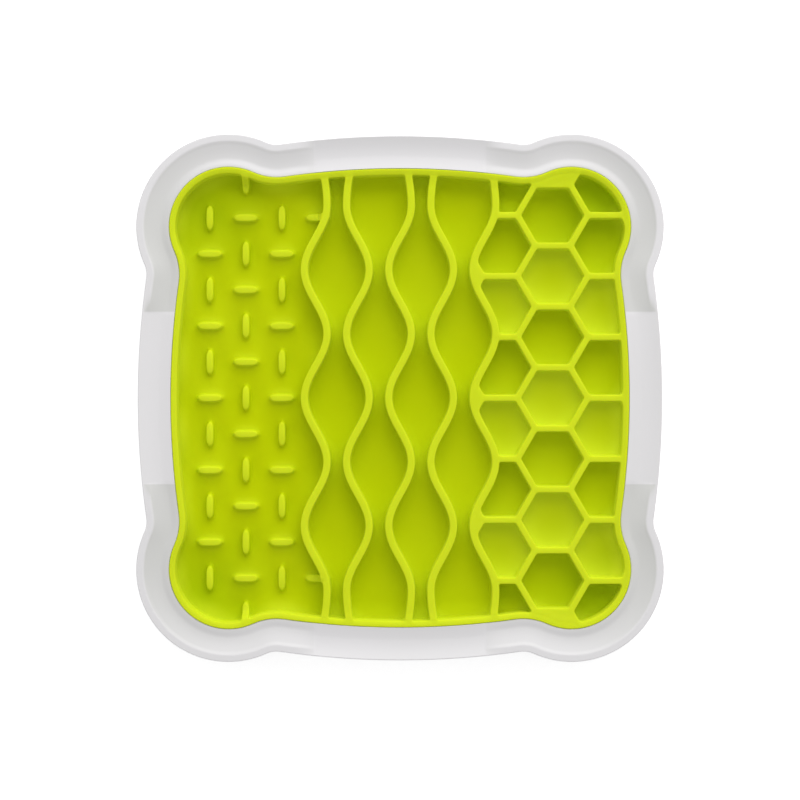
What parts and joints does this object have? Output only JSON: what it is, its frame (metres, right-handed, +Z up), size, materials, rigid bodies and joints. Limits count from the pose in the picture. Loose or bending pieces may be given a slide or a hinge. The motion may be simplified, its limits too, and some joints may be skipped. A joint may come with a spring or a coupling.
{
  "type": "lick mat",
  "caption": "Lobed square feeding mat: a hard tray on rubber feet holding a soft lift-out insert with dashes, wave ribs and honeycomb cells.",
  "frame": {"origin": "on the table under the middle of the tray", "axes": "+Z up, +X towards the honeycomb, +Y towards the back edge"},
  "size_m": [0.2, 0.2, 0.022],
  "materials": {
    "tray_plastic": "satin moulded polypropylene",
    "insert_rubber": "matte thermoplastic rubber, lime green",
    "foot_rubber": "matte rubber"
  },
  "bodies": {
    "tray": {"tray": "tray_plastic", "foot_front_left": "foot_rubber", "foot_front_right": "foot_rubber", "foot_back_left": "foot_rubber", "foot_back_right": "foot_rubber"},
    "insert": {"insert": "insert_rubber"}
  },
  "joints": [
    {"name": "insert_lift", "type": "slide", "parent": "tray", "child": "insert", "axis": [0, 0, 1], "range_m": [0, 0.03]}
  ]
}
